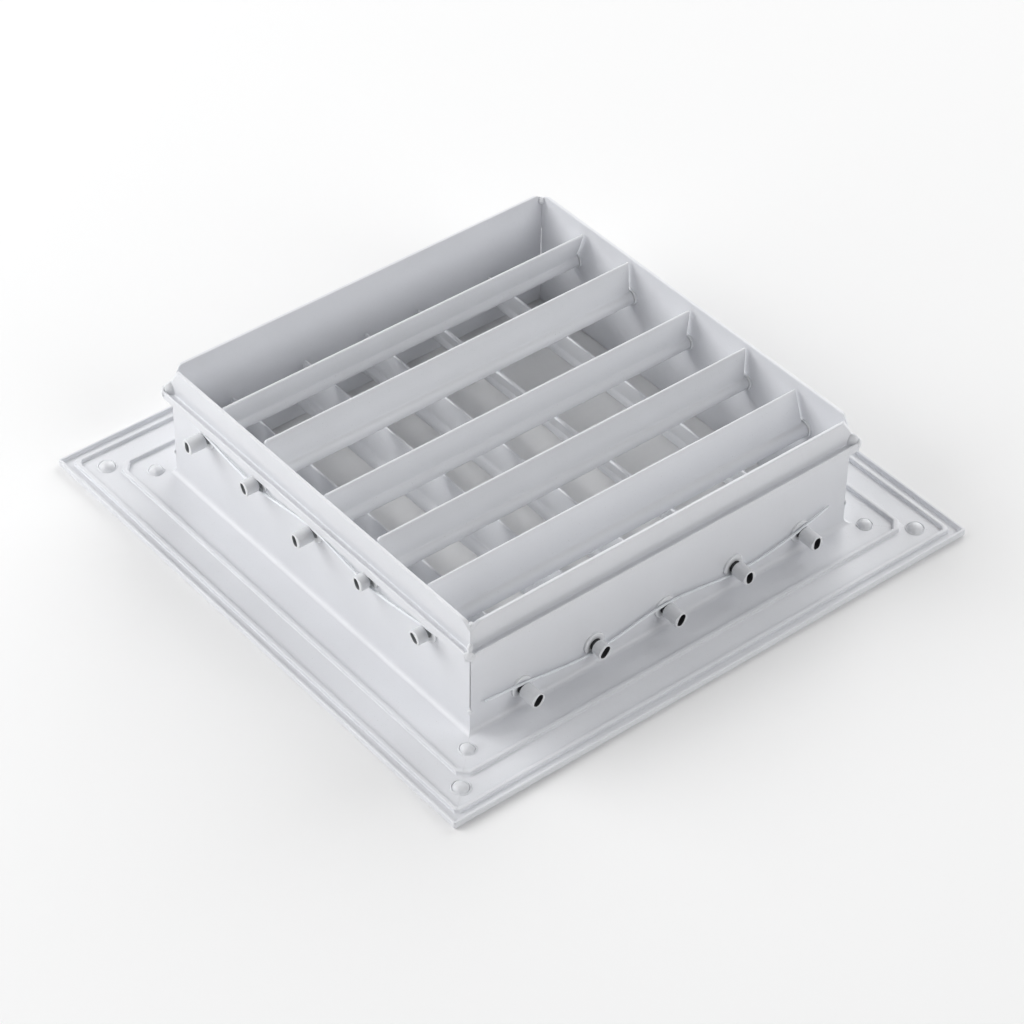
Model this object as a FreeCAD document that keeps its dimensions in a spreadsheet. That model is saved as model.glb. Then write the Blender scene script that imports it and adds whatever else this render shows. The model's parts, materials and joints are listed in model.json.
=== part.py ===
# Square double-deflection supply air grille, neck for a 6 inch (152.4 mm) duct, two rows of five blades.
# Frame: origin at the centre of the room-side face, +Z up the neck towards the duct.
# The four sides are called front (-Y), right (+X), back (+Y) and left (-X).
import FreeCAD, Part
import math
import os
import Sketcher

V = FreeCAD.Vector
doc = FreeCAD.newDocument("air_grille")

# ---------------------------------------------------------------- driving sizes, millimetres
SIZES = [
    ("neck_width", 150.8, "outside width of the square duct neck"),
    ("wall_thick", 1.2, "wall of the neck extrusion"),
    ("total_depth", 44.3, "face to neck rim"),
    ("face_width", 205.5, "outside width of the face flange"),
    ("face_thick", 1.2, "plate of the face flange"),
    ("hem_height", 2.6, "turned-back edge of the flange, from the face"),
    ("hem_thick", 1.0, "turned-back edge, thickness"),
    ("rib_height", 2.4, "top of both stiffening ribs, from the face"),
    ("rib_wide", 1.4, "width of both stiffening ribs"),
    ("inner_rib_out", 13.2, "inner rib centre, out from the neck"),
    ("outer_rib_out", 23.15, "outer rib centre, out from the neck"),
    ("rib_corner_cut", 3.0, "corner cut of the inner rib, along each side"),
    ("root_radius", 2.0, "fillet where the neck meets the flange"),
    ("edge_chamfer", 0.6, "chamfers of the room-side edges"),
    ("ledge_top", 34.45, "damper ledge round the neck, top face"),
    ("ledge_thick", 1.0, "damper ledge, thickness"),
    ("hook_out", 2.8, "hooked edge of the ledge, out from the neck"),
    ("hook_thick", 0.8, "hooked edge, thickness"),
    ("hook_top", 35.55, "hooked edge, top"),
    ("hook_bottom", 32.5, "hooked edge, bottom"),
    ("hook_corner_cut", 1.8, "corner cut of the hooked edge, along each side"),
    ("rim_clip_along", 4.2, "cut of the rim corners, along both walls"),
    ("rim_clip_down", 2.8, "cut of the rim corners, down the front and back corners"),
    ("rim_clip_deep", 6.5, "cut of the rim corners, down the left and right corners"),
    ("rim_chamfer", 0.3, "chamfers of the neck rim"),
    ("mitre_play", 0.01, "closed mitre, back-off of each side"),
    ("seam_open", 0.22, "open stretch of the neck mitre, back-off of each side"),
    ("seam_low", 11.0, "open stretch of the mitre, lower end"),
    ("seam_high", 30.5, "open stretch of the mitre, upper end"),
    ("blade_pitch", 28.0, "spacing of the blades in both rows"),
    ("front_row_z", 9.4, "pivot line of the front row"),
    ("rear_row_z", 29.0, "pivot line of the rear row"),
    ("stagger", 0.6, "pins lie this far above or below their pivot line"),
    ("bead_radius", 2.6, "round nose bead of the blade"),
    ("bead_bore", 1.6, "bore of the bead, radius"),
    ("bead_gap", 0.8, "bead end to the inside of the neck wall"),
    ("vane_reach", 14.1, "pivot to blade tip"),
    ("vane_root", 1.5, "vane thickness at the bead"),
    ("vane_tip", 0.9, "vane thickness at the tip"),
    ("vane_inset", 0.6, "vane end back from the bead end"),
    ("vane_clip", 0.6, "clipped upper corner of the vane"),
    ("vane_fillet", 1.0, "fillet between vane and bead"),
    ("bush_hole", 2.95, "hole for a bush in the neck wall, radius"),
    ("bush_body", 2.92, "bush in the wall, radius"),
    ("bush_bore", 2.05, "bore of a bush, radius"),
    ("collar_radius", 3.9, "outer collar of a bush"),
    ("collar_thick", 0.8, "outer collar, thickness"),
    ("ring_radius", 3.2, "inner ring of a bush"),
    ("ring_thick", 0.6, "inner ring, thickness"),
    ("pin_shank", 1.55, "pin in the bead, radius"),
    ("pin_grip", 8.0, "length of pin in the bead"),
    ("pin_journal", 2.0, "pin in the bush, radius"),
    ("pin_neck", 1.7, "wire groove of the pin, radius"),
    ("groove_start", 0.85, "wire groove, near edge out from the wall"),
    ("groove_end", 2.15, "wire groove, far edge out from the wall"),
    ("head_radius", 2.55, "pin head, radius"),
    ("head_end", 8.2, "pin head, end out from the wall"),
    ("slot_long", 4.4, "hollow in the pin head, long way"),
    ("slot_wide", 2.7, "hollow in the pin head, short way"),
    ("slot_floor", 0.9, "solid plastic between the hollow and the wire groove"),
    ("slot_roll", 27.0, "hollow turned from the vane, degrees"),
    ("wire_radius", 0.45, "friction wire, radius"),
    ("wire_out", 1.5, "friction wire, centre out from the wall"),
    ("wire_play", 0.1, "friction wire clear of the pins"),
    ("dome_place", 91.45, "outer weld domes, X and Y"),
    ("dome_radius", 3.0, "outer weld domes, base radius"),
    ("dome_height", 1.7, "outer weld domes, height"),
    ("stud_place", 80.2, "inner weld domes, X and Y"),
    ("stud_radius", 2.6, "inner weld domes, base radius"),
    ("stud_height", 1.6, "inner weld domes, height"),
    ("bead_weld", 1.2, "weld on the hook corners, radius"),
    ("rim_weld", 1.5, "weld inside the rim corners, radius"),
    ("rim_weld_z", 41.4, "weld inside the rim corners, height"),
    ("tack_radius", 0.9, "tack on the neck seam, radius"),
    ("tack_z", 9.8, "tack on the neck seam, height"),
]

# Blades as they are set, degrees from straight through; front row leans to +X, rear row to +Y.
FRONT_SET = [8.0, 11.0, -3.0, -31.0, -23.0]
REAR_SET = [-20.0, 2.5, -7.0, -1.0, 18.5]
ROW_COUNT = 5

# How much shorter than the longest each pin head was cut, near and far end of each blade.
FRONT_CUTS = [(0.0, 1.2), (2.6, 0.4), (0.0, 1.9), (0.3, 0.2), (0.0, 2.3)]
REAR_CUTS = [(0.2, 0.6), (1.6, 2.2), (0.5, 0.0), (2.8, 1.1), (2.5, 0.3)]

sheet = doc.addObject("Spreadsheet::Sheet", "sizes")
for row, (alias, amount, note) in enumerate(SIZES, start=1):
    sheet.set("A%d" % row, note)
    sheet.set("B%d" % row, str(amount))
    sheet.setAlias("B%d" % row, alias)
doc.recompute()


# ---------------------------------------------------------------- sizes that carry their formula
class Size:
    """A length together with the sheet formula that drives it."""

    def __init__(self, value, text):
        self.value = value
        self.text = text

    def join(self, other, value, sign):
        return Size(value, "(%s %s %s)" % (self.text, sign, other.text))

    def __add__(self, other):
        other = plain(other)
        return self.join(other, self.value + other.value, "+")

    def __sub__(self, other):
        other = plain(other)
        return self.join(other, self.value - other.value, "-")

    def __mul__(self, other):
        other = plain(other)
        return self.join(other, self.value * other.value, "*")

    def __truediv__(self, other):
        other = plain(other)
        return self.join(other, self.value / other.value, "/")

    def __neg__(self):
        return Size(-self.value, "(-1 * %s)" % self.text)


def plain(number):
    """A bare number as a Size."""
    if isinstance(number, Size):
        return number
    return Size(float(number), repr(float(number)))


def size(alias):
    """A cell of the sheet."""
    return Size(float(sheet.get(alias)), "sizes.%s" % alias)


def bind(target, prop, length):
    target.setExpression(prop, length.text)


neck = size("neck_width") / 2
inside = neck - size("wall_thick")
face = size("face_width") / 2
face_thick = size("face_thick")
wire_radius = size("wire_radius")


def pin_offset(index):
    """Blade positions along a row, 0 at the middle; odd and even pins sit low and high."""
    along = size("blade_pitch") * (index - (ROW_COUNT - 1) / 2)
    if index % 2 == 0:
        return along, -size("stagger")
    return along, size("stagger")


# ---------------------------------------------------------------- modelling helpers
def origin_plane(body, role):
    for feature in body.Origin.OriginFeatures:
        if feature.Role == role:
            return feature
    raise RuntimeError("no plane " + role)


def new_sketch(body, name, role, lift=None):
    sketch = body.newObject("Sketcher::SketchObject", name)
    sketch.AttachmentSupport = (origin_plane(body, role), "")
    sketch.MapMode = "FlatFace"
    if lift is not None:
        bind(sketch, "AttachmentOffset.Base.z", lift)
    return sketch


def fix_point(sketch, item, end, across, up):
    """Hold one sketch point at driven coordinates."""
    for kind, axis, length in (("DistanceX", -2, across), ("DistanceY", -1, up)):
        if abs(length.value) < 1e-9:
            sketch.addConstraint(Sketcher.Constraint("PointOnObject", item, end, axis))
        else:
            made = sketch.addConstraint(
                Sketcher.Constraint(kind, -1, 1, item, end, length.value))
            bind(sketch, "Constraints[%d]" % made, length)


def add_outline(sketch, corners):
    """A closed outline of straight edges through driven corners."""
    corners = [(plain(a), plain(b)) for a, b in corners]
    first = sketch.GeometryCount
    count = len(corners)
    for k in range(count):
        here = corners[k]
        there = corners[(k + 1) % count]
        sketch.addGeometry(Part.LineSegment(V(here[0].value, here[1].value, 0),
                                            V(there[0].value, there[1].value, 0)), False)
    for k in range(count):
        sketch.addConstraint(
            Sketcher.Constraint("Coincident", first + k, 2, first + (k + 1) % count, 1))
    for k, (across, up) in enumerate(corners):
        fix_point(sketch, first + k, 1, across, up)


def add_circle(sketch, across, up, radius):
    across = plain(across)
    up = plain(up)
    middle = V(across.value, up.value, 0)
    item = sketch.addGeometry(Part.Circle(middle, V(0, 0, 1), radius.value), False)
    made = sketch.addConstraint(Sketcher.Constraint("Radius", item, radius.value))
    bind(sketch, "Constraints[%d]" % made, radius)
    fix_point(sketch, item, 3, across, up)


def new_body(name):
    body = doc.addObject("PartDesign::Body", name)
    body.Label = name
    return body


def pad(body, sketch, name, length, both_ways=False, backwards=False):
    made = body.newObject("PartDesign::Pad", name)
    made.Profile = sketch
    bind(made, "Length", length)
    made.Midplane = both_ways
    made.Reversed = backwards
    body.Tip = made
    return made


def pocket(body, sketch, name, length=None, both_ways=False, backwards=False):
    made = body.newObject("PartDesign::Pocket", name)
    made.Profile = sketch
    if length is None:
        made.Type = "ThroughAll"
    else:
        bind(made, "Length", length)
    made.Midplane = both_ways
    made.Reversed = backwards
    body.Tip = made
    return made


def edges_at(shape, test):
    """Names of the edges whose every vertex passes the test."""
    return ["Edge%d" % (k + 1) for k, edge in enumerate(shape.Edges)
            if all(test(v.Point) for v in edge.Vertexes)]


def fillet(body, base, name, edges, radius):
    made = body.newObject("PartDesign::Fillet", name)
    made.Base = (base, edges)
    bind(made, "Radius", radius)
    body.Tip = made
    return made


def round_bar(name, radius, start, end):
    """A cylinder along X between two distances from the frame centre."""
    bar = doc.addObject("Part::Cylinder", name)
    bind(bar, "Radius", radius)
    bind(bar, "Height", end - start)
    bar.Placement = FreeCAD.Placement(V(start.value, 0, 0), FreeCAD.Rotation(V(0, 1, 0), 90))
    bind(bar, "Placement.Base.x", start)
    return bar


def spin(angle):
    return FreeCAD.Placement(V(0, 0, 0), FreeCAD.Rotation(V(0, 0, 1), angle))


def group(name, members):
    made = doc.addObject("Part::Compound", name)
    made.Links = members
    made.Label = name
    return made


parts = []


# ---------------------------------------------------------------- frame sides
def side_outline():
    """Section of the frame extrusion, drawn for the front side: (Y, Z) corners."""
    half_rib = size("rib_wide") / 2
    rib_top = size("rib_height")
    chamfer = size("edge_chamfer")
    rim = size("rim_chamfer")
    depth = size("total_depth")
    hook_out = size("hook_out")
    hook_in = hook_out - size("hook_thick")
    ledge_top = size("ledge_top")
    ledge_low = ledge_top - size("ledge_thick")
    thick = size("wall_thick")
    hem_in = face - neck - size("hem_thick")
    outward = [
        (-thick + chamfer, plain(0)),
        (face - neck - chamfer, plain(0)),
        (face - neck, chamfer),
        (face - neck, size("hem_height")),
        (hem_in, size("hem_height")),
        (hem_in, face_thick),
    ]
    for rib in (size("outer_rib_out"), size("inner_rib_out")):
        outward.append((rib + half_rib, face_thick))
        outward.append((rib + half_rib, rib_top))
        outward.append((rib - half_rib, rib_top))
        outward.append((rib - half_rib, face_thick))
    outward += [
        (plain(0), face_thick),
        (plain(0), ledge_low),
        (hook_in, ledge_low),
        (hook_in, size("hook_bottom")),
        (hook_out, size("hook_bottom")),
        (hook_out, size("hook_top")),
        (hook_in, size("hook_top")),
        (hook_in, ledge_top),
        (plain(0), ledge_top),
        (plain(0), depth - rim),
        (-rim, depth),
        (-thick + rim, depth),
        (-thick, depth - rim),
        (-thick, chamfer),
    ]
    return [(-neck - out, up) for out, up in outward]


def mitre_corners(hand, back_off):
    """Triangle beyond the mitre plane at one end of the front side."""
    near = neck / 2
    far = face * 1.5
    side = plain(hand)
    return [(side * (near - back_off), -near),
            (side * (far - back_off), -far),
            (side * far * 1.5, -near)]


def corner_triangle(hand, reach, cut):
    """Triangle at the mitre between the corner at reach and its 45 degree cut."""
    side = plain(hand)
    return [(side * (reach - cut), -reach),
            (side * reach, -reach),
            (side * (reach - cut / 2), cut / 2 - reach)]


def make_side(name, turn, row_z):
    body = new_body(name)
    section = new_sketch(body, name + "_section", "YZ_Plane")
    add_outline(section, side_outline())
    bar = pad(body, section, name + "_bar", size("face_width"), both_ways=True)
    doc.recompute()

    def at_root(point):
        on_wall = abs(point.y + neck.value) < 1e-4
        return on_wall and abs(point.z - face_thick.value) < 1e-4

    root = fillet(body, bar, name + "_root", edges_at(bar.Shape, at_root), size("root_radius"))
    doc.recompute()

    reach_in = neck + size("inner_rib_out") - size("rib_wide") / 2
    reach_out = neck + size("inner_rib_out") + size("rib_wide") / 2
    rib_rise = size("rib_height") - face_thick
    fill = new_sketch(body, name + "_rib_fill_plan", "XY_Plane", face_thick)
    cut = new_sketch(body, name + "_rib_cut_plan", "XY_Plane", face_thick)
    hook = new_sketch(body, name + "_hook_cut_plan", "XY_Plane", size("hook_bottom"))
    for hand in (-1, 1):
        add_outline(fill, corner_triangle(hand, reach_in, size("rib_corner_cut")))
        add_outline(cut, corner_triangle(hand, reach_out, size("rib_corner_cut")))
        hook_reach = neck + size("hook_out")
        add_outline(hook, corner_triangle(hand, hook_reach, size("hook_corner_cut")))
    pad(body, fill, name + "_rib_fill", rib_rise)
    pocket(body, cut, name + "_rib_cut", rib_rise, backwards=True)
    hook_rise = size("hook_top") - size("hook_bottom")
    pocket(body, hook, name + "_hook_cut", hook_rise, backwards=True)

    mitre = new_sketch(body, name + "_mitre_plan", "XY_Plane")
    seam = new_sketch(body, name + "_seam_plan", "XY_Plane", size("seam_low"))
    for hand in (-1, 1):
        add_outline(mitre, mitre_corners(hand, size("mitre_play")))
        side = plain(hand)
        open_by = size("seam_open")
        slack = size("wall_thick") / 4
        add_outline(seam, [(side * (inside - slack - open_by), slack - inside),
                           (side * (neck + slack - open_by), -neck - slack),
                           (side * (neck + slack * 2), -neck - slack),
                           (side * (neck + slack * 2), slack - inside)])
    pocket(body, mitre, name + "_mitre", size("total_depth"), backwards=True)
    pocket(body, seam, name + "_seam", size("seam_high") - size("seam_low"), backwards=True)

    top = size("total_depth")
    corner = neck * math.sqrt(2)
    inward = size("rim_clip_along") / math.sqrt(2)
    for hand in (-1, 1):
        shallow = (hand < 0) == (turn in (0, 180))
        down = size("rim_clip_down") if shallow else size("rim_clip_deep")
        clip = new_sketch(body, "%s_clip_%s" % (name, "left" if hand < 0 else "right"), "XZ_Plane")
        clip.AttachmentOffset = FreeCAD.Placement(V(0, 0, 0), FreeCAD.Rotation(V(0, 1, 0), -45 * hand))
        side = plain(hand)
        add_outline(clip, [(side * (corner - inward * 2), top + down),
                           (side * (corner + inward / 8), top - down * 1.125),
                           (side * (corner + inward / 8), top + down)])
        pocket(body, clip, clip.Name + "_cut", both_ways=True)

    holes = new_sketch(body, name + "_hole_view", "XZ_Plane")
    for index in range(ROW_COUNT):
        along, lift = pin_offset(index)
        add_circle(holes, along, row_z + lift, size("bush_hole"))
    pocket(body, holes, name + "_holes", both_ways=True)
    body.Placement = spin(turn)
    parts.append(body)
    return body


front_row = size("front_row_z")
rear_row = size("rear_row_z")
make_side("frame_side_front", 0, front_row)
make_side("frame_side_right", 90, rear_row)
make_side("frame_side_back", 180, front_row)
make_side("frame_side_left", 270, rear_row)


# ---------------------------------------------------------------- blades and their pins
def make_blade(name, where):
    """A blade along X with its bead on the axis and its vane up, then put in place."""
    body = new_body(name)
    half = inside - size("bead_gap")
    vane_half = half - size("vane_inset")
    nose = new_sketch(body, name + "_nose", "YZ_Plane")
    add_circle(nose, 0, 0, size("bead_radius"))
    add_circle(nose, 0, 0, size("bead_bore"))
    pad(body, nose, name + "_bead", half * 2, both_ways=True)
    start = (size("bead_radius") + size("bead_bore")) / 2
    root = size("vane_root") / 2
    tip = size("vane_tip") / 2
    reach = size("vane_reach")
    tail = new_sketch(body, name + "_tail", "YZ_Plane")
    add_outline(tail, [(-root, start), (root, start),
                       (tip, reach - tip), (tip / 2, reach), (-tip / 2, reach),
                       (-tip, reach - tip)])
    vane = pad(body, tail, name + "_vane", vane_half * 2, both_ways=True)
    doc.recompute()

    def at_root(point):
        off_axis = math.hypot(point.y, point.z)
        beside = 0.5 * root.value < abs(point.y) < 1.6 * root.value
        return beside and abs(off_axis - size("bead_radius").value) < 1e-3 and point.z > 0

    def along_blade(edge_name):
        edge = vane.Shape.Edges[int(edge_name[4:]) - 1]
        return edge.Length > vane_half.value
    seams = [e for e in edges_at(vane.Shape, at_root) if along_blade(e)]
    fillet(body, vane, name + "_blend", seams, size("vane_fillet"))
    clip = new_sketch(body, name + "_clip_view", "XZ_Plane")
    add_outline(clip, [(-vane_half - 1, reach + 1),
                       (-vane_half - 1, reach - size("vane_clip") - 1),
                       (-vane_half + size("vane_clip") + 1, reach + 1)])
    pocket(body, clip, name + "_clip", both_ways=True)
    body.Placement = where
    parts.append(body)


def make_pin(name, where, shorter):
    """A pivot pin pointing along +X, its hollow head outermost and cut shorter by that much."""
    body = new_body(name)
    end = inside - size("bead_gap")
    start = end - size("pin_grip")
    head_end = neck + size("head_end") - shorter
    bevel = plain(0.2)
    outline = new_sketch(body, name + "_outline", "XZ_Plane")
    add_outline(outline, [
        (start, 0), (start, size("pin_shank")), (end, size("pin_shank")),
        (end, size("pin_journal")), (neck + size("groove_start"), size("pin_journal")),
        (neck + size("groove_start"), size("pin_neck")),
        (neck + size("groove_end"), size("pin_neck")),
        (neck + size("groove_end"), size("head_radius")),
        (head_end - bevel, size("head_radius")), (head_end, size("head_radius") - bevel),
        (head_end, 0)])
    turned = body.newObject("PartDesign::Revolution", name + "_turned")
    turned.Profile = outline
    turned.ReferenceAxis = (outline, ["H_Axis"])
    turned.Angle = 360
    body.Tip = turned
    slot = new_sketch(body, name + "_slot", "YZ_Plane", head_end)
    half_wide = size("slot_wide") / 2
    half_long = size("slot_long") / 2
    shoulder = half_long - half_wide / 2
    add_outline(slot, [
        (half_wide, -shoulder), (half_wide, shoulder),
        (half_wide / 2, half_long), (-half_wide / 2, half_long),
        (-half_wide, shoulder), (-half_wide, -shoulder),
        (-half_wide / 2, -half_long), (half_wide / 2, -half_long)])
    deep = head_end - neck - size("groove_end") - size("slot_floor")
    pocket(body, slot, name + "_hollow", deep)
    body.Placement = where
    parts.append(body)


def make_row(row_name, row_z, settings, cuts, turn, lean):
    """One row of blades; turn points the blades, lean is the sense of their settings."""
    for index, setting in enumerate(settings):
        along, lift = pin_offset(index if turn else ROW_COUNT - 1 - index)
        centre = V(along.value, 0, 0) if turn else V(0, along.value, 0)
        centre.z = row_z.value + lift.value
        tilt = FreeCAD.Rotation(V(1, 0, 0), lean * setting)
        pointed = FreeCAD.Rotation(V(0, 0, 1), turn)
        where = FreeCAD.Placement(centre, pointed.multiply(tilt))
        name = "%s_blade_%d" % (row_name, index + 1)
        make_blade(name, where)
        rolled = FreeCAD.Rotation(V(1, 0, 0), lean * size("slot_roll").value)
        flipped = FreeCAD.Rotation(V(0, 0, 1), 180)
        ends = (("near", rolled.multiply(flipped)), ("far", rolled))
        for (end_name, roll), cut in zip(ends, cuts[index]):
            pin_place = where.multiply(FreeCAD.Placement(V(0, 0, 0), roll))
            make_pin("%s_pin_%d_%s" % (row_name, index + 1, end_name), pin_place, cut)


make_row("front", front_row, FRONT_SET, FRONT_CUTS, 90, 1)
make_row("rear", rear_row, REAR_SET, REAR_CUTS, 0, -1)


# ---------------------------------------------------------------- bushes in the neck walls
def make_bushes(name, turn, row_z):
    members = []
    for index in range(ROW_COUNT):
        along, lift = pin_offset(index)
        tag = "%s_%d" % (name, index + 1)
        collar = round_bar(tag + "_collar", size("collar_radius"),
                           neck, neck + size("collar_thick"))
        bind(collar, "Placement.Base.z", -lift)
        barrel = round_bar(tag + "_barrel", size("bush_body"), inside, neck)
        ring = round_bar(tag + "_ring", size("ring_radius"), inside - size("ring_thick"), inside)
        solid = doc.addObject("Part::MultiFuse", tag + "_solid")
        solid.Shapes = [collar, barrel, ring]
        solid.Refine = True
        bore = round_bar(tag + "_bore", size("bush_bore"), inside - 2, neck + 2)
        bush = doc.addObject("Part::Cut", tag)
        bush.Base = solid
        bush.Tool = bore
        bush.Placement = FreeCAD.Placement(V(0, along.value, row_z.value + lift.value),
                                           FreeCAD.Rotation())
        bind(bush, "Placement.Base.y", along)
        bind(bush, "Placement.Base.z", row_z + lift)
        members.append(bush)
    made = group(name, members)
    made.Placement = spin(turn)
    parts.append(made)


make_bushes("bushes_right", 0, rear_row)
make_bushes("bushes_back", 90, front_row)
make_bushes("bushes_left", 180, rear_row)
make_bushes("bushes_front", 270, front_row)


# ---------------------------------------------------------------- friction wires
def make_wire(name, turn, row_z, free_ends):
    """A sprung wire woven over the odd pins and under the even ones."""
    reach = size("pin_neck").value + wire_radius.value + size("wire_play").value
    out = -(neck.value + size("wire_out").value)
    points = []
    for index in range(ROW_COUNT):
        along, lift = pin_offset(index)
        over = reach if index % 2 == 0 else -reach
        points.append(V(along.value, out, row_z.value + lift.value + over))
    first, last = free_ends
    points.insert(0, V(first[0], out, row_z.value + first[1]))
    points.append(V(last[0], out, row_z.value + last[1]))
    curve = Part.BSplineCurve()
    curve.interpolate(points)
    path = Part.Wire(curve.toShape())
    direction = curve.tangent(curve.FirstParameter)[0]
    rim = Part.Wire(Part.Circle(points[0], direction, wire_radius.value).toShape())
    made = doc.addObject("Part::Feature", name)
    made.Label = name
    made.Shape = path.makePipeShell([rim], True, False)
    made.Placement = spin(turn)
    parts.append(made)


LONG_ENDS = ((-71.0, 3.2), (66.5, 4.6))
SHORT_ENDS = ((-66.0, 2.9), (66.0, 2.9))
make_wire("friction_wire_front", 0, front_row, LONG_ENDS)
make_wire("friction_wire_right", 90, rear_row, SHORT_ENDS)
make_wire("friction_wire_back", 180, front_row, LONG_ENDS)
make_wire("friction_wire_left", 270, rear_row, SHORT_ENDS)


# ---------------------------------------------------------------- welds at the four corners
CORNERS = [("front_left", -1, -1), ("front_right", 1, -1),
           ("back_right", 1, 1), ("back_left", -1, 1)]


def weld_domes(name, place, radius, height):
    """Low spherical caps standing on the flange across each mitre."""
    ball = (radius * radius + height * height) / (height * 2)
    members = []
    for corner, sx, sy in CORNERS:
        dome = doc.addObject("Part::Sphere", "%s_%s" % (name, corner))
        bind(dome, "Radius", ball)
        sunk = ball - height
        dome.setExpression("Angle1", "asin(%s / %s)" % (sunk.text, ball.text))
        bind(dome, "Placement.Base.x", place * sx)
        bind(dome, "Placement.Base.y", place * sy)
        bind(dome, "Placement.Base.z", face_thick - sunk)
        members.append(dome)
    parts.append(group(name, members))


def corner_blobs(name, place, radius, height, keep_inside):
    """Round weld blobs lying against the neck corners, cut off where the metal is."""
    members = []
    for corner, sx, sy in CORNERS:
        tag = "%s_%s" % (name, corner)
        blob = doc.addObject("Part::Sphere", tag + "_blob")
        bind(blob, "Radius", radius)
        free = -1 if keep_inside else 1
        facing = math.degrees(math.atan2(free * sy, free * sx))
        blob.Placement = FreeCAD.Placement(V(0, 0, 0), FreeCAD.Rotation(V(0, 0, 1), facing))
        bind(blob, "Placement.Base.x", place * sx)
        bind(blob, "Placement.Base.y", place * sy)
        bind(blob, "Placement.Base.z", height)
        block = doc.addObject("Part::Box", tag + "_block")
        edge = inside if keep_inside else neck
        for prop in ("Length", "Width"):
            bind(block, prop, edge * 2)
        bind(block, "Height", size("total_depth"))
        bind(block, "Placement.Base.x", -edge)
        bind(block, "Placement.Base.y", -edge)
        kind = "Part::Common" if keep_inside else "Part::Cut"
        made = doc.addObject(kind, tag)
        made.Base = blob
        made.Tool = block
        members.append(made)
    parts.append(group(name, members))


def hook_welds(name):
    """Lumpy weld beads closing the cut corners of the hooked edge, kept outside the metal."""
    members = []
    cut = size("hook_corner_cut")
    ball = size("bead_weld")
    place = neck + size("hook_out") - cut / 2
    height = (size("hook_top") + size("hook_bottom")) / 2
    for corner, sx, sy in CORNERS:
        tag = "%s_%s" % (name, corner)
        lumps = []
        for step, share in enumerate((0.9, 1.1, 1.0)):
            lump = doc.addObject("Part::Sphere", "%s_lump_%d" % (tag, step + 1))
            aside = ball * (step - 1)
            bind(lump, "Radius", ball * share)
            bind(lump, "Placement.Base.x", place * sx - aside * sy / math.sqrt(2))
            bind(lump, "Placement.Base.y", place * sy + aside * sx / math.sqrt(2))
            bind(lump, "Placement.Base.z", height + aside / 5)
            lumps.append(lump)
        bead = doc.addObject("Part::MultiFuse", tag + "_bead")
        bead.Shapes = lumps
        block = doc.addObject("Part::Box", tag + "_block")
        for prop in ("Length", "Width", "Height"):
            bind(block, prop, cut * 2)
        turned = FreeCAD.Rotation(V(0, 0, 1), math.degrees(math.atan2(sy, sx)))
        shift = turned.multVec(V(0, -cut.value, 0))
        block.Placement = FreeCAD.Placement(
            V(place.value * sx, place.value * sy, height.value - cut.value) + shift, turned)
        made = doc.addObject("Part::Common", tag)
        made.Base = bead
        made.Tool = block
        members.append(made)
    parts.append(group(name, members))


weld_domes("weld_domes_outer", size("dome_place"), size("dome_radius"), size("dome_height"))
weld_domes("weld_domes_inner", size("stud_place"), size("stud_radius"), size("stud_height"))
hook_welds("weld_beads_hook")
corner_blobs("weld_beads_rim", inside - 0.6, size("rim_weld"), size("rim_weld_z"), True)
corner_blobs("weld_tacks_seam", neck, size("tack_radius"), size("tack_z"), False)

# ---------------------------------------------------------------- checks and export
doc.recompute()
for thing in doc.Objects:
    bad = [word for word in thing.State if word in ("Invalid", "Error")]
    if bad:
        raise RuntimeError("%s: %s" % (thing.Label, thing.State))
    if hasattr(thing, "Shape") and thing in parts:
        if thing.Shape.isNull() or not thing.Shape.isValid() or not thing.Shape.Solids:
            raise RuntimeError("bad shape: " + thing.Label)

os.makedirs("parts", exist_ok=True)
for thing in parts:
    thing.Shape.exportStep("parts/%s.step" % thing.Label)
    box = thing.Shape.BoundBox
    print("%-26s solids %d  volume %9.2f  X %.2f..%.2f  Y %.2f..%.2f  Z %.2f..%.2f" % (
        thing.Label, len(thing.Shape.Solids), thing.Shape.Volume,
        box.XMin, box.XMax, box.YMin, box.YMax, box.ZMin, box.ZMax))
print("parts written:", len(parts))
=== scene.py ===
# Looks of the double-deflection air grille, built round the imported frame.
# Sizes are in millimetres and follow the CAD; finish_mesh turns them into metres.
# Texture depths, the floor, the lamps and their places are in metres.
import json
import math
import bmesh
import bpy
from mathutils import Matrix, Vector, geometry, noise


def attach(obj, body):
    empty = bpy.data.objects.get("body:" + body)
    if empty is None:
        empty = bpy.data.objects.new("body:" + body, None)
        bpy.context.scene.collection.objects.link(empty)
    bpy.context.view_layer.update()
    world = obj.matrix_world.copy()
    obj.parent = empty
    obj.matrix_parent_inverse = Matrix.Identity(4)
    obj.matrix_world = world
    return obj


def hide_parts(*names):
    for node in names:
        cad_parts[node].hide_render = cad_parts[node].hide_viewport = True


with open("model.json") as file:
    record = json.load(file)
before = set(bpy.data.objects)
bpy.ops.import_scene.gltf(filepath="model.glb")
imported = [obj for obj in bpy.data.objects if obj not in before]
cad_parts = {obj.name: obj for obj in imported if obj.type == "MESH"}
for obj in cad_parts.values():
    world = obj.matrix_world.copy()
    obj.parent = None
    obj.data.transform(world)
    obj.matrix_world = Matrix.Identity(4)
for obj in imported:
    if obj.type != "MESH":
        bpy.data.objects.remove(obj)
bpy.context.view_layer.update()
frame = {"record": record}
MM = 0.001

BODIES = {node: body for body, held in frame["record"]["behaviour"]["bodies"].items()
          for node in held}

# half widths from the centre line, and heights above the room-side face
NECK = 75.4
WALL = 1.2
INSIDE = NECK - WALL
TOP = 44.3
FACE = 102.75
PLATE = 1.2

# five pivots to a row, every other one a little above the row's line and the rest below it
COUNT = 5
PITCH = 28.0
STAGGER = 0.6
ROW_Z = {"front": 9.4, "rear": 29.0}

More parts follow.
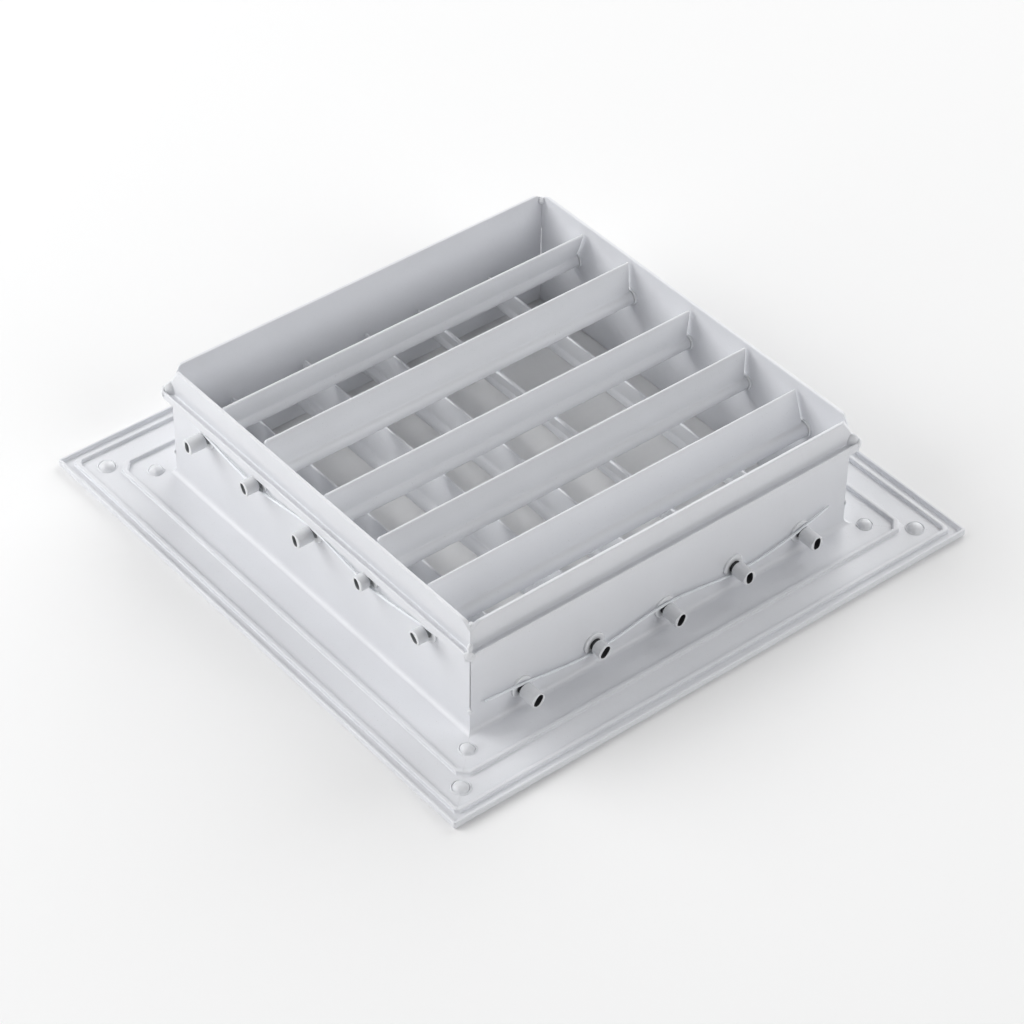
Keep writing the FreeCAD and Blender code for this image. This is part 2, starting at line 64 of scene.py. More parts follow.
# turn of each side about Z; the front side faces -Y
SIDES = {"front": 0, "right": 90, "back": 180, "left": 270}
CORNERS = [(-1, -1), (1, -1), (1, 1), (-1, 1)]

# lean of each blade from upright, in degrees, and how much its (near, far) pin heads are cut short
FRONT_SET = [8.0, 11.0, -3.0, -31.0, -23.0]
REAR_SET = [-20.0, 2.5, -7.0, -1.0, 18.5]
FRONT_CUTS = [(0.0, 1.2), (2.6, 0.4), (0.0, 1.9), (0.3, 0.2), (0.0, 2.3)]
REAR_CUTS = [(0.2, 0.6), (1.6, 2.2), (0.5, 0.0), (2.8, 1.1), (2.5, 0.3)]


def pivot_at(index):
    """Place of a pivot along its wall, and how far it is off the row's line."""
    return PITCH * (index - COUNT // 2), STAGGER if index % 2 else -STAGGER


# ------------------------------------------------------------------ mesh helpers
def turned(degrees):
    """A turn about Z."""
    return Matrix.Rotation(math.radians(degrees), 4, "Z")


def rounded(corners, steps=4):
    """Closed outline (across, up, radius) with every corner that has a radius turned into an arc."""
    made = []
    count = len(corners)
    for k, (across, up, radius) in enumerate(corners):
        here = Vector((across, up))
        before = Vector(corners[k - 1][:2]) - here
        after = Vector(corners[(k + 1) % count][:2]) - here
        if radius == 0:
            made.append(here)
            continue
        half = before.angle(after) / 2
        back_off = min(radius / math.tan(half), before.length * 0.48, after.length * 0.48)
        radius = back_off * math.tan(half)
        inward = (before.normalized() + after.normalized()).normalized()
        middle = here + inward * radius / math.sin(half)
        start = here + before.normalized() * back_off - middle
        end = here + after.normalized() * back_off - middle
        first = math.atan2(start.y, start.x)
        sweep = (math.atan2(end.y, end.x) - first + math.pi) % (2 * math.pi) - math.pi
        for step in range(steps + 1):
            angle = first + sweep * step / steps
            made.append(middle + Vector((math.cos(angle), math.sin(angle))) * radius)
    return made


def ring_of(radius, first, sweep, steps):
    """Points on a circle, from the angle first, steps spans over sweep, both ends included."""
    return [Vector((radius * math.cos(a), radius * math.sin(a)))
            for a in (first + sweep * k / steps for k in range(steps + 1))]


def bridge(bm, rings, material=0):
    """Quads between neighbouring closed rings of the same count."""
    for one, two in zip(rings, rings[1:]):
        count = len(one)
        for k in range(count):
            j = (k + 1) % count
            bm.faces.new((one[k], one[j], two[j], two[k])).material_index = material


def finish_mesh(name, bm, materials, node, place=None):
    """Turn a bmesh in millimetres into an object that stands for one CAD node."""
    bmesh.ops.triangulate(bm, faces=[f for f in bm.faces if len(f.verts) > 4])
    bmesh.ops.recalc_face_normals(bm, faces=bm.faces)
    if place is not None:
        bm.transform(place)
    bm.transform(Matrix.Scale(MM, 4))
    mesh = bpy.data.meshes.new(name)
    bm.to_mesh(mesh)
    bm.free()
    for material in materials:
        mesh.materials.append(material)
    piece = bpy.data.objects.new(name, mesh)
    bpy.context.scene.collection.objects.link(piece)
    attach(piece, BODIES[node])
    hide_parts(node)
    return piece


def soften(piece, degrees=32):
    """Smooth shading inside each face group, flat faces kept flat by weighted normals."""
    for face in piece.data.polygons:
        face.use_smooth = True
    piece.data.set_sharp_from_angle(angle=math.radians(degrees))
    weigh = piece.modifiers.new("weigh", "WEIGHTED_NORMAL")
    weigh.keep_sharp = True


# ------------------------------------------------------------------ materials
CLOUD_SCALE = 28
SPECK_SCALE = 2600
SPECK_COLOUR = (0.42, 0.41, 0.39)
GLOSS_SCALE = 90
PEEL_DEPTH = 0.00012
GRAIN_DEPTH = 0.00003


def surface(name, colour, rough, peel, peel_size, shade=0.0, dust=0.0):
    """Procedural finish: cloudy colour, specks of dust, uneven gloss, orange peel and fine grain."""
    mat = bpy.data.materials.new(name)
    mat.use_nodes = True
    nodes, links = mat.node_tree.nodes, mat.node_tree.links
    shader = nodes["Principled BSDF"]
    shader.inputs["IOR"].default_value = 1.5
    coords = nodes.new("ShaderNodeTexCoord").outputs["Object"]

    def texture(scale, detail, rough_of=0.5):
        made = nodes.new("ShaderNodeTexNoise")
        made.inputs["Scale"].default_value = scale
        made.inputs["Detail"].default_value = detail
        made.inputs["Roughness"].default_value = rough_of
        links.new(coords, made.inputs["Vector"])
        return made.outputs["Fac"]

    def ranged(source, low, high, to_low, to_high):
        made = nodes.new("ShaderNodeMapRange")
        made.inputs["From Min"].default_value = low
        made.inputs["From Max"].default_value = high
        made.inputs["To Min"].default_value = to_low
        made.inputs["To Max"].default_value = to_high
        links.new(source, made.inputs["Value"])
        return made.outputs["Result"]

    def blended(share, first, second):
        made = nodes.new("ShaderNodeMix")
        made.data_type = "RGBA"
        links.new(share, made.inputs[0])
        for socket, value in ((made.inputs[6], first), (made.inputs[7], second)):
            if isinstance(value, tuple):
                socket.default_value = (*value, 1)
            else:
                links.new(value, socket)
        return made.outputs[2]

    darker = tuple(c * (1 - shade) for c in colour)
    tint = blended(ranged(texture(CLOUD_SCALE, 4), 0.35, 0.65, 0, 1), colour, darker)
    if dust:
        specks = ranged(texture(SPECK_SCALE, 1), 0.70, 0.78, 0, dust)
        tint = blended(specks, tint, SPECK_COLOUR)
    links.new(tint, shader.inputs["Base Color"])
    gloss = ranged(texture(GLOSS_SCALE, 5, 0.6), 0.3, 0.7, rough - 0.05, rough + 0.07)
    links.new(gloss, shader.inputs["Roughness"])
    coarse = nodes.new("ShaderNodeBump")
    coarse.inputs["Strength"].default_value = peel
    coarse.inputs["Distance"].default_value = PEEL_DEPTH
    links.new(texture(peel_size, 2), coarse.inputs["Height"])
    fine = nodes.new("ShaderNodeBump")
    fine.inputs["Strength"].default_value = peel * 0.5
    fine.inputs["Distance"].default_value = GRAIN_DEPTH
    links.new(texture(peel_size * 4, 2), fine.inputs["Height"])
    links.new(coarse.outputs["Normal"], fine.inputs["Normal"])
    links.new(fine.outputs["Normal"], shader.inputs["Normal"])
    return mat


COAT = surface("white_powder_coat", (0.80, 0.81, 0.84), 0.38, 0.30, 520, shade=0.03, dust=0.35)
BLADE = surface("blade_powder_coat", (0.84, 0.85, 0.875), 0.36, 0.25, 560, shade=0.03, dust=0.3)
WELD = surface("coated_weld", (0.81, 0.82, 0.845), 0.34, 0.5, 420, shade=0.05, dust=0.2)
NYLON = surface("white_nylon", (0.90, 0.91, 0.93), 0.14, 0.06, 300, shade=0.01)
PIN = surface("pin_nylon", (0.82, 0.83, 0.85), 0.32, 0.2, 700, shade=0.06, dust=0.3)
# painted shade for the pin hollows and wire grooves: a near-black one, and a grey one for where
# light would reach part way into the hollow
HOLLOW_SHADE = surface("pin_hollow_painted_shade", (0.06, 0.062, 0.066), 0.5, 0.2, 700, shade=0.3)
HOLLOW_HALF_SHADE = surface("pin_hollow_painted_half_shade", (0.35, 0.36, 0.37), 0.5, 0.2, 700, shade=0.3)
WIRE = surface("spring_wire", (0.90, 0.925, 0.96), 0.28, 0.1, 900, shade=0.06)


# ------------------------------------------------------------------ frame sides
# distances out from the neck wall, and heights above the face
INNER_RIB = 13.2
OUTER_RIB = 23.15
RIB_HALF = 0.7
RIB_TOP = 2.4
HEM_OUT = FACE - NECK
HEM_IN = HEM_OUT - 1.0
HEM_TOP = 2.6
LEDGE_LOW = 33.45
LEDGE_TOP = 34.45
HOOK_IN = 2.0
HOOK_OUT = 2.8
HOOK_LOW = 32.5
HOOK_TOP = 35.55

# what is cut off at the mitres, measured along each side
INNER_RIB_CUT = 3.0
OUTER_RIB_CUT = 1.1
HOOK_CUT = 1.8
HEM_CUT = 0.5
RIM_CUT = 4.2
RIM_CUT_SHALLOW = 2.8
RIM_CUT_DEEP = 6.5

# each side stops short of the mitre, and a little more where the seam stands open
MITRE_PLAY = 0.02
SEAM_PLAY = 0.18
SEAM_FADE = 0.6
SEAM = (11.0, 30.5)
SEAM_END = 0.2
BUSH_HOLE = 2.95


def side_profile():
    """Section of the extrusion as (out from the neck, up), every edge softened."""
    outline = [(-0.6, 0, 0.3), (HEM_OUT - 0.6, 0, 0.4), (HEM_OUT, 0.6, 0.4),
               (HEM_OUT, HEM_TOP, 0.35), (HEM_IN, HEM_TOP, 0.35), (HEM_IN, PLATE, 0.5)]
    for rib in (OUTER_RIB, INNER_RIB):
        outline += [(rib + RIB_HALF, PLATE, 0.45), (rib + RIB_HALF, RIB_TOP, 0.4),
                    (rib - RIB_HALF, RIB_TOP, 0.4), (rib - RIB_HALF, PLATE, 0.45)]
    seam = (SEAM[0], SEAM[0] + SEAM_END, SEAM[1] - SEAM_END, SEAM[1])
    outline.append((0, PLATE, 2.0))
    outline += [(0, up, 0) for up in seam]
    outline += [(0, LEDGE_LOW, 0.5), (HOOK_IN, LEDGE_LOW, 0.3), (HOOK_IN, HOOK_LOW, 0.3),
                (HOOK_OUT, HOOK_LOW, 0.3), (HOOK_OUT, HOOK_TOP, 0.35), (HOOK_IN, HOOK_TOP, 0.3),
                (HOOK_IN, LEDGE_TOP, 0.4), (0, LEDGE_TOP, 0.5), (0, TOP, 0.4), (-WALL, TOP, 0.4)]
    outline += [(-WALL, up, 0) for up in reversed(seam)]
    outline.append((-WALL, 0.6, 0.3))
    return rounded(outline)


def at_corner(out, up, gap, rim_cut):
    """Where a profile point lies, gap millimetres from the mitre: (along, out, up)."""
    line = NECK + out
    for rib, cut in ((INNER_RIB, INNER_RIB_CUT), (OUTER_RIB, OUTER_RIB_CUT)):
        if up > PLATE + 0.1 and abs(out - rib) < 1.3:
            line -= max(0.0, (cut - gap) / 2)
    if HOOK_LOW - 0.5 < up < HOOK_TOP + 0.45 and out > 1.0 and gap < HOOK_CUT:
        line = min(line, NECK + HOOK_OUT - (HOOK_CUT - gap) / 2 - (HOOK_OUT - out) * 0.4)
    if out > HEM_IN - 0.2 and gap < HEM_CUT:
        line = min(line, FACE - (HEM_CUT - gap) / 2 - (HEM_OUT - out) * 0.5)
    play = MITRE_PLAY
    if out <= 0 and SEAM[0] < up < SEAM[1]:
        play += SEAM_PLAY * max(0.0, 1 - gap / SEAM_FADE)
    along = line - play - gap
    inward = RIM_CUT / math.sqrt(2)
    past = (along + line) / math.sqrt(2) - NECK * math.sqrt(2) + inward
    if up > HOOK_TOP + 1:
        up = min(up, TOP - rim_cut * past / inward - (TOP - up) / 2)
    return along, line, up


# distances from the mitre at which the section is drawn, close together where it changes
GAPS = [0, 0.1, 0.3, 0.6, 0.8, 1.1, 1.4, 1.8, 2.2, 2.6, 3.0, 3.6, 4.2, 4.5, 5.5]


def frame_side(name, spin, row_z):
    """One mitred length of the extrusion, with its five bush holes drilled."""
    bm = bmesh.new()
    profile = side_profile()
    rings = []
    for hand in (-1, 1):
        shallow = (hand < 0) == (spin in (0, 180))
        rim_cut = RIM_CUT_SHALLOW if shallow else RIM_CUT_DEEP
        for gap in GAPS if hand < 0 else GAPS[::-1]:
            ring = []
            for out, up in profile:
                along, line, height = at_corner(out, up, gap, rim_cut)
                ring.append(bm.verts.new((hand * along, -line, height)))
            rings.append(ring)
    bridge(bm, rings)
    flat = geometry.delaunay_2d_cdt(profile, [], [list(range(len(profile)))], 1, 1e-6)
    for ring in (rings[0], rings[-1]):
        for face in flat[2]:
            bm.faces.new([ring[flat[3][k][0]] for k in face])
    piece = finish_mesh(name + "_coated", bm, [COAT], name, turned(spin))

    cutter = bmesh.new()
    for index in range(COUNT):
        along, lift = pivot_at(index)
        spot = Matrix.Translation((along, -NECK, row_z + lift))
        bmesh.ops.create_cone(cutter, cap_ends=True, segments=48, radius1=BUSH_HOLE,
                              radius2=BUSH_HOLE, depth=5 * WALL,
                              matrix=spot @ Matrix.Rotation(math.pi / 2, 4, "X"))
    cutter.transform(Matrix.Scale(MM, 4) @ turned(spin))
    tool_mesh = bpy.data.meshes.new(name + "_drill")
    cutter.to_mesh(tool_mesh)
    cutter.free()
    tool = bpy.data.objects.new(name + "_drill", tool_mesh)
    bpy.context.scene.collection.objects.link(tool)
    drill = piece.modifiers.new("drill", "BOOLEAN")
    drill.object = tool
    drill.solver = "EXACT"
    bpy.context.view_layer.update()
    seen = piece.evaluated_get(bpy.context.evaluated_depsgraph_get())
    drilled = bpy.data.meshes.new_from_object(seen)
    piece.modifiers.clear()
    piece.data = drilled
    bpy.data.objects.remove(tool)
    soften(piece)


for side, spin in SIDES.items():
    frame_side("frame_side_" + side, spin, ROW_Z["front" if side in ("front", "back") else "rear"])


# ------------------------------------------------------------------ blades
BEAD = 2.6
BORE = 1.6
REACH = 14.1
ROOT_HALF = 0.75
TIP_HALF = 0.45
FILLET = 1.0
VANE_CUT = 0.6
BLADE_END = INSIDE - 0.8


def blade(name, place):
    """Hollow nose bead with a filleted, tapered vane that stops short of the bead ends."""
    bm = bmesh.new()
    middle = Vector((ROOT_HALF + FILLET,
                     math.sqrt((BEAD + FILLET) ** 2 - (ROOT_HALF + FILLET) ** 2)))
    first = math.atan2(middle.y, middle.x)
    arc = ring_of(BEAD, first, -(2 * first + math.pi), 40)
    under = ring_of(BEAD, math.pi - first, -(math.pi - 2 * first), 8)[1:-1]
    start = math.atan2(-middle.y, -middle.x) + 2 * math.pi
    flank = [middle + p for p in ring_of(FILLET, start, math.pi - start, 5)[1:]]
    flank.append(Vector((TIP_HALF, REACH - TIP_HALF)))
    tip = [Vector((0, REACH - TIP_HALF)) + p for p in ring_of(TIP_HALF, 0, math.pi, 8)[1:-1]]
    right = flank + tip[:3]
    vane = [Vector((-p.x, p.y)) for p in right] + [tip[3]] + right[::-1]

    def loop(points, along, clip=REACH):
        return [bm.verts.new((along, p.x, min(p.y, clip))) for p in points]

    ends = []
    for hand in (-1, 1):
        tube = loop(arc + under, hand * BLADE_END)
        shoulder = loop(arc + under, hand * (BLADE_END - VANE_CUT))
        lead = loop(vane, hand * (BLADE_END - VANE_CUT), REACH - VANE_CUT if hand < 0 else REACH)
        inner = loop(arc + vane, hand * (BLADE_END - 2 * VANE_CUT))
        bridge(bm, [tube, shoulder])
        bridge(bm, [shoulder[:len(arc)] + lead, inner])
        bm.faces.new(lead + [shoulder[0]] + shoulder[:len(arc) - 2:-1])
        ends.append((tube, inner))
    bridge(bm, [ends[0][1], ends[1][1]])
    bores = []
    for hand, (tube, _) in zip((-1, 1), ends):
        bore = loop(ring_of(BORE, first, -2 * math.pi, len(tube))[:-1], hand * BLADE_END)
        bridge(bm, [tube, bore])
        bores.append(bore)
    bridge(bm, bores)
    soften(finish_mesh(name + "_coated", bm, [BLADE], name, place))


# ------------------------------------------------------------------ pins and bushes
PIN_GRIP = 8.0
PIN_SHANK = 1.55
PIN_JOURNAL = 2.0
PIN_NECK = 1.7
PIN_HEAD = 2.55
HEAD_END = 8.2
GROOVE = (NECK + 0.85, NECK + 2.15)
SLOT_WIDE_HALF = 1.35
SLOT_LONG_HALF = 2.2
SLOT_FLOOR = 0.9
SLOT_ROLL = 27.0
SLOT_POWER = 2.6
BUSH_BORE = 2.05
BUSH_BARREL = 2.92
COLLAR_RADIUS = 3.9
COLLAR_END = NECK + 0.8
RING_RADIUS = 3.2
RING_END = INSIDE - 0.6


def lathe(bm, outline, count):
    """Rings about X through (along, radius) pairs."""
    rings = []
    for along, radius in outline:
        circle = ring_of(radius, 0, 2 * math.pi, count)[:-1]
        rings.append([bm.verts.new((along, p.x, p.y)) for p in circle])
    return rings


def slot_ring(bm, along, grow, count):
    """A rounded oblong ring, long way up."""
    ring = []
    for p in ring_of(1, 0, 2 * math.pi, count)[:-1]:
        reach = (abs(p.x) ** SLOT_POWER + abs(p.y) ** SLOT_POWER) ** (-1 / SLOT_POWER)
        ring.append(bm.verts.new((along, (SLOT_WIDE_HALF + grow) * p.x * reach,
                                  (SLOT_LONG_HALF + grow) * p.y * reach * 0.985)))
    return ring


def pin(name, place, shorter, hollow_shade, narrow):
    """Pivot pin along X: shank, journal, wire groove and a head with an oblong hollow.

    core is the dark material that paints shade into the groove and the hollow; narrow takes that
    much off the hollow.
    """
    bm = bmesh.new()
    grip = BLADE_END - PIN_GRIP
    head = NECK + HEAD_END - shorter
    shank = [(grip, 1.3), (grip + 0.25, PIN_SHANK), (BLADE_END, PIN_SHANK), (BLADE_END, 1.9),
             (BLADE_END + 0.1, PIN_JOURNAL), (COLLAR_END, PIN_JOURNAL)]
    groove = [(GROOVE[0], 1.95), (GROOVE[0], PIN_NECK), (GROOVE[1], PIN_NECK), (GROOVE[1], 2.4)]
    knob = [(GROOVE[1] + 0.15, PIN_HEAD), (head - 0.32, PIN_HEAD), (head - 0.16, 2.51),
            (head - 0.05, 2.43), (head, 2.32)]
    rings = lathe(bm, shank + groove + knob, 48)
    for step, grow in ((0, 0.02), (0.06, -0.05), (0.25, -0.1)):
        rings.append(slot_ring(bm, head - step, grow - narrow, 48))
    rings.append(slot_ring(bm, GROOVE[1] + SLOT_FLOOR, -0.25 - narrow, 48))
    bridge(bm, rings[:6])
    # material 1 paints shade into the wire groove and into the hollow in the head
    bridge(bm, rings[5:10], 1)
    bridge(bm, rings[9:17])
    bridge(bm, rings[16:], 1)
    bm.faces.new(rings[0])
    bm.faces.new(rings[-1]).material_index = 1
    soften(finish_mesh(name + "_moulded", bm, [PIN, hollow_shade], name, place), 40)


def blade_row(row, settings, cuts, turn, lean, hollow_shade, narrow):
    """Five blades with their pins; turn is their direction about Z, lean the sign of their tilt,
    core the painted shade in the pin hollows.
    """
    for index, setting in enumerate(settings):
        along, lift = pivot_at(index)
        spot = (along, 0, ROW_Z[row] + lift) if turn else (0, -along, ROW_Z[row] + lift)
        tilt = Matrix.Rotation(math.radians(lean * setting), 4, "X")
        roll = Matrix.Rotation(math.radians(lean * SLOT_ROLL), 4, "X")
        place = Matrix.Translation(spot) @ turned(turn) @ tilt
        near, far = cuts[index]
        number = index + 1
        blade(f"{row}_blade_{number}", place)
        pin(f"{row}_pin_{number}_near", place @ roll @ turned(180), near, hollow_shade, narrow)
        pin(f"{row}_pin_{number}_far", place @ roll, far, hollow_shade, narrow)


# front pins get near-black painted shade in their hollows, rear pins a grey painted half shade where
# light reaches in
blade_row("front", FRONT_SET, FRONT_CUTS, 90, 1, HOLLOW_SHADE, 0.0)
blade_row("rear", REAR_SET, REAR_CUTS, 0, -1, HOLLOW_HALF_SHADE, 0.25)


def bush_set(name, spin, row_z):
    """Five bushes in one wall: ring inside, barrel in the wall, collar outside."""
    bm = bmesh.new()
    outline = [(RING_END, 2.15), (RING_END, 3.05), (INSIDE - 0.45, RING_RADIUS),
               (INSIDE, RING_RADIUS), (INSIDE, BUSH_BARREL), (NECK, BUSH_BARREL),
               (NECK, COLLAR_RADIUS), (NECK + 0.5, COLLAR_RADIUS), (NECK + 0.68, 3.84),
               (NECK + 0.78, 3.7), (COLLAR_END, 3.5), (COLLAR_END, 2.25), (NECK + 0.72, 2.1),
               (NECK + 0.6, BUSH_BORE), (INSIDE - 0.5, BUSH_BORE)]
    for index in range(COUNT):
        along, lift = pivot_at(index)
        rings = lathe(bm, outline, 56)
        bridge(bm, rings + rings[:1])
        mine = [v for ring in rings for v in ring]
        bmesh.ops.translate(bm, verts=mine, vec=(0, along, row_z + lift))
    soften(finish_mesh(name + "_moulded", bm, [NYLON], name, turned(spin)), 40)


for side, row in (("right", "rear"), ("back", "front"), ("left", "rear"), ("front", "front")):
    bush_set("bushes_" + side, SIDES[side] - 90, ROW_Z[row])


# ------------------------------------------------------------------ welds
def lump(bm, middle, radii, facing, rough, seed):
    """A closed uneven blob; radii along its own axes, facing in degrees about Z."""
    made = bmesh.ops.create_icosphere(bm, subdivisions=4, radius=1.0)
    turn = turned(facing)
    for vert in made["verts"]:
        way = vert.co.copy()
        swell = 1 + rough * noise.noise(way * 1.7 + Vector((seed, seed * 0.7, 0)))
        swell += rough * 0.5 * noise.noise(way * 4.1 + Vector((0, seed, seed)))
        spot = Vector((way.x * radii[0], way.y * radii[1], way.z * radii[2])) * swell
        vert.co = turn @ spot + Vector(middle)


def dome_rise(share):
    """Height of a weld dome, as a share of its top: a round crown in a shallow collar."""
    crown = math.sqrt(max(0.0, 1 - (share / 0.76) ** 2))
    collar = 0.26 * math.exp(-((share - 0.89) / 0.065) ** 2)
    return max(crown, collar) if share < 1 else 0.0


DOME_SIDES = 56
DOME_RINGS = 20


def dome_set(name, place, radius, height, rough, seed):
    """Low caps on the flange mitres, their skirts sunk just below the plate face."""
    bm = bmesh.new()
    for number, (sx, sy) in enumerate(CORNERS):
        rings = []
        for step in range(DOME_RINGS + 1):
            share = step / DOME_RINGS
            ring = []
            for k in range(DOME_SIDES):
                angle = 2 * math.pi * k / DOME_SIDES
                way = Vector((math.cos(angle) * share, math.sin(angle) * share, seed + number))
                reach = radius * share * (1 + rough * noise.noise(way * 1.9))
                bump = rough * noise.noise(way * 3.1 + Vector((7, 1, 0))) * height * (1 - share)
                ring.append((place * sx + reach * math.cos(angle),
                             place * sy + reach * math.sin(angle),
                             PLATE - 0.02 + height * dome_rise(share) + bump))
            rings.append(ring)
        peak = bm.verts.new(rings[0][0])
        loops = [[bm.verts.new(p) for p in ring] for ring in rings[1:]]
        foot = [bm.verts.new((v.co.x, v.co.y, PLATE - 0.15)) for v in loops[-1]]
        bridge(bm, loops + [foot])
        for k in range(DOME_SIDES):
            bm.faces.new((peak, loops[0][k], loops[0][(k + 1) % DOME_SIDES]))
        bm.faces.new(foot)
    soften(finish_mesh(name + "_coated", bm, [WELD], name), 60)


dome_set("weld_domes_outer", 91.45, 3.3, 1.65, 0.05, 3.0)
dome_set("weld_domes_inner", 80.2, 2.9, 1.5, 0.10, 11.0)


def corner_lumps(node, spots):
    """Weld lumps at the four corners; spots takes whether a corner is the left or right one."""
    bm = bmesh.new()
    half_turn = math.sqrt(0.5)
    for number, (sx, sy) in enumerate(CORNERS):
        heading = math.degrees(math.atan2(sy, sx))
        for step, (out, aside, up, radii, rough) in enumerate(spots(sx * sy < 0)):
            spot = (out * sx - aside * sy * half_turn, out * sy + aside * sx * half_turn, up)
            lump(bm, spot, radii, heading, rough, number * 7 + step)
    soften(finish_mesh(node + "_coated", bm, [WELD], node), 60)


def hook_spots(across):
    """Lumps as (out from the centre, aside, up, radii, roughness), on the cut hook corner."""
    reach = NECK + HOOK_OUT - HOOK_CUT / 2 - 0.25
    tall = 1.6
    fill = (NECK + 0.6, 0.0, 36.4, (1.5, 0.9, 1.4), 0.12)
    if across:
        fill = (NECK, 0.0, 34.0, (2.7, 1.6, 4.2), 0.06)
    return [(reach - 0.1, -0.6, 34.2 + tall / 5, (0.75, 1.2, tall * 0.9), 0.16),
            (reach, 0.1, 33.7 + tall * 0.6, (0.85, 1.5, tall), 0.14),
            (reach - 0.1, 0.8, 34.0 + tall / 4, (0.75, 1.2, tall * 0.85), 0.16),
            fill]


def rim_spots(across):
    """One lump inside the rim, lower where the rim is cut deeper."""
    up = 36.9 if across else 42.3
    return [(INSIDE - 0.45, 0.0, up, (1.1, 1.1, 1.3), 0.2)]


def seam_spots(across):
    """One tack at the foot of the open seam, smaller at the left and right corners."""
    wide = 0.4 if across else 0.8
    return [(NECK, 0.0, 9.8, (wide, wide, 0.9), 0.2)]


corner_lumps("weld_beads_hook", hook_spots)
corner_lumps("weld_beads_rim", rim_spots)
corner_lumps("weld_tacks_seam", seam_spots)


# ------------------------------------------------------------------ friction wires
WIRE_RADIUS = 0.45
WIRE_END_RADIUS = 0.36
WIRE_OUT = 1.5
WIRE_OVER = 2.25
WIRE_SIDES = 14
WIRE_STEPS = 12


def smooth_path(points, steps):
    """Natural cubic spline through the points, steps spans between each pair."""
    knots = [0.0]
    for one, two in zip(points, points[1:]):
        knots.append(knots[-1] + (two - one).length)
    last = len(points) - 1
    share = [0.0] * (last + 1)
    held = [Vector((0, 0, 0))] * (last + 1)
    for k in range(1, last):
        before = knots[k] - knots[k - 1]
        after = knots[k + 1] - knots[k]
        pull = (points[k + 1] - points[k]) / after - (points[k] - points[k - 1]) / before
        pivot = 2 * (before + after) - before * share[k - 1]
        share[k] = after / pivot
        held[k] = (6 * pull - before * held[k - 1]) / pivot
    bend = [Vector((0, 0, 0))] * (last + 1)
    for k in range(last - 1, 0, -1):
        bend[k] = held[k] - share[k] * bend[k + 1]
    path = []
    for k in range(last):
        span = knots[k + 1] - knots[k]
        for step in range(steps + (k == last - 1)):
            b = step / steps
            a = 1 - b
            sag = (a ** 3 - a) * bend[k] + (b ** 3 - b) * bend[k + 1]
            path.append(a * points[k] + b * points[k + 1] + sag * span ** 2 / 6)
    return path


def friction_wire(side, row_z, first, last):
    """Spring wire over the odd pins and under the even ones, its ends lightly rounded."""
    out = -(NECK + WIRE_OUT)
    points = [Vector((first[0], out, row_z + first[1]))]
    for index in range(COUNT):
        along, lift = pivot_at(index)
        over = -WIRE_OVER if index % 2 else WIRE_OVER
        points.append(Vector((along, out, row_z + lift + over)))
    points.append(Vector((last[0], out, row_z + last[1])))
    path = smooth_path(points, WIRE_STEPS)
    end = len(path) - 1
    bm = bmesh.new()
    rings = []
    for k, spot in enumerate(path):
        along = (path[min(k + 1, end)] - path[max(k - 1, 0)]).normalized()
        up = along.cross(Vector((0, 1, 0))).normalized()
        radius = WIRE_END_RADIUS if k in (0, end) else WIRE_RADIUS
        circle = ring_of(radius, 0, 2 * math.pi, WIRE_SIDES)[:-1]
        rings.append([bm.verts.new(spot + p.x * up + Vector((0, p.y, 0))) for p in circle])
    bridge(bm, rings)
    bm.faces.new(rings[0])
    bm.faces.new(rings[-1])
    name = "friction_wire_" + side
    soften(finish_mesh(name + "_drawn", bm, [WIRE], name, turned(SIDES[side])), 50)


for side in ("front", "back"):
    friction_wire(side, ROW_Z["front"], (-71.0, 3.2), (66.5, 4.6))
for side in ("right", "left"):
    friction_wire(side, ROW_Z["rear"], (-66.0, 2.9), (66.0, 2.9))


# ------------------------------------------------------------------ floor, light, camera
FLOOR_COLOUR = (0.92, 0.92, 0.92, 1)
WORLD_STRENGTH = 0.05
AIM = Vector((0, 0, 0.02))
CAMERA_AZIMUTH = math.radians(-39.5965)
CAMERA_HEIGHT = math.radians(41.2617)
CAMERA_ROLL = math.radians(0.8358)
CAMERA_TARGET = Vector((-2.534, -5.319, 0)) * MM
CAMERA_DISTANCE = 1090.585 * MM
CAMERA_LENS = 120.807

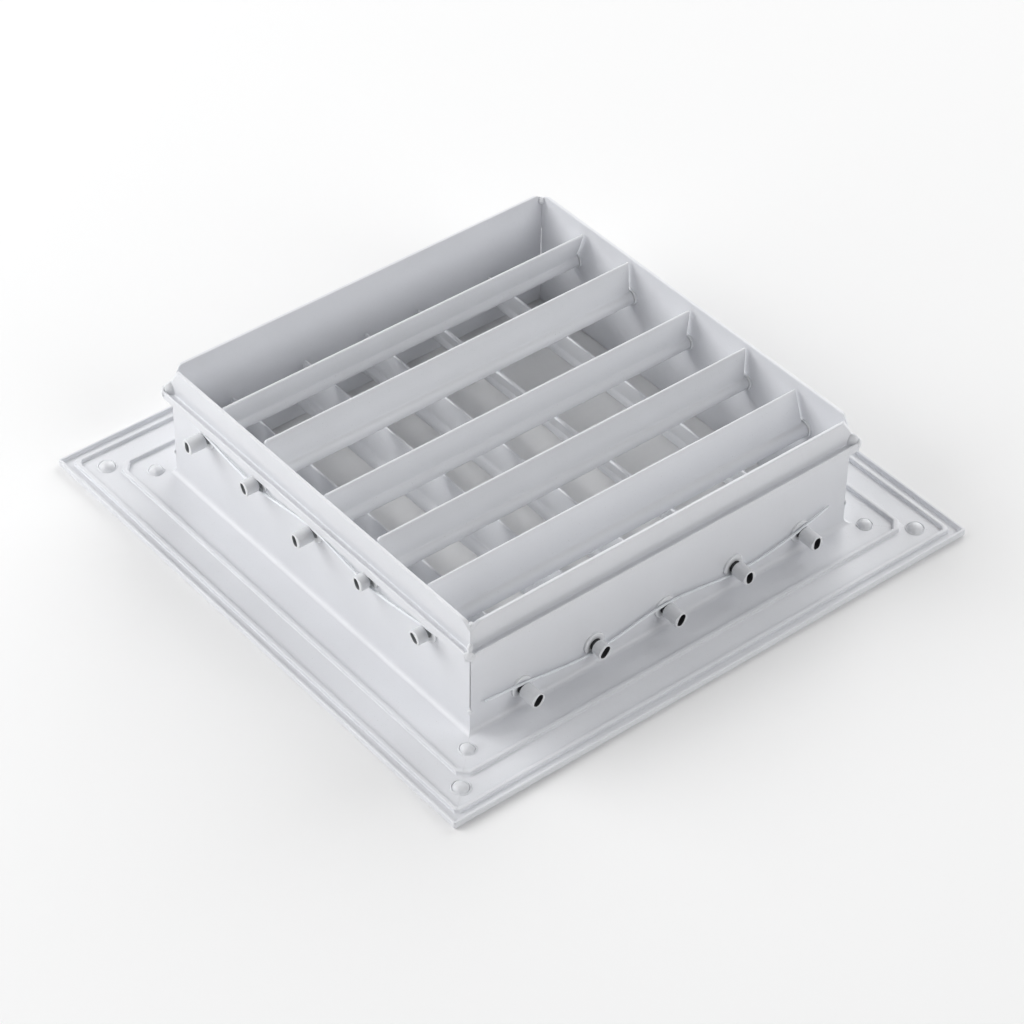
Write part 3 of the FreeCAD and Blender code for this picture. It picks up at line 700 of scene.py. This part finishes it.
bpy.ops.mesh.primitive_plane_add(size=6)
floor = bpy.context.object
floor.name = "floor"
pale = bpy.data.materials.new("pale_floor")
pale.use_nodes = True
paint = pale.node_tree.nodes["Principled BSDF"]
paint.inputs["Base Color"].default_value = FLOOR_COLOUR
paint.inputs["Roughness"].default_value = 0.8
floor.data.materials.append(pale)

world = bpy.data.worlds.new("studio")
bpy.context.scene.world = world
world.use_nodes = True
world.node_tree.nodes["Background"].inputs["Color"].default_value = (1, 1, 1, 1)
world.node_tree.nodes["Background"].inputs["Strength"].default_value = WORLD_STRENGTH


def softbox(name, place, wide, power):
    """A square area lamp that faces the grille."""
    data = bpy.data.lights.new(name, "AREA")
    data.shape = "SQUARE"
    data.size = wide
    data.energy = power
    lamp = bpy.data.objects.new(name, data)
    bpy.context.scene.collection.objects.link(lamp)
    lamp.location = place
    lamp.rotation_mode = "QUATERNION"
    lamp.rotation_quaternion = (AIM - Vector(place)).to_track_quat("-Z", "Y")


softbox("left", (-1.2, 0.3, 0.7), 0.9, 7.4)
softbox("left_back", (-0.7, 1.0, 0.9), 1.0, 13.5)
softbox("front", (0.3, -1.2, 0.7), 0.9, 7.8)
softbox("right", (1.5, 0.6, 0.9), 1.8, 30.0)

back = Vector((math.sin(CAMERA_AZIMUTH) * math.cos(CAMERA_HEIGHT),
               -math.cos(CAMERA_AZIMUTH) * math.cos(CAMERA_HEIGHT), math.sin(CAMERA_HEIGHT)))
right = Vector((math.cos(CAMERA_AZIMUTH), math.sin(CAMERA_AZIMUTH), 0))
above = back.cross(right)
cam_x = math.cos(CAMERA_ROLL) * right + math.sin(CAMERA_ROLL) * above
cam_y = -math.sin(CAMERA_ROLL) * right + math.cos(CAMERA_ROLL) * above
lens = bpy.data.cameras.new("photo_camera")
lens.lens = CAMERA_LENS
lens.sensor_width = 36
lens.clip_start = 0.01
camera = bpy.data.objects.new("photo_camera", lens)
bpy.context.scene.collection.objects.link(camera)
axes = Matrix((cam_x, cam_y, back)).transposed()
camera.matrix_world = Matrix.Translation(CAMERA_TARGET + back * CAMERA_DISTANCE) @ axes.to_4x4()
bpy.context.scene.camera = camera
bpy.context.scene.view_settings.view_transform = "Standard"
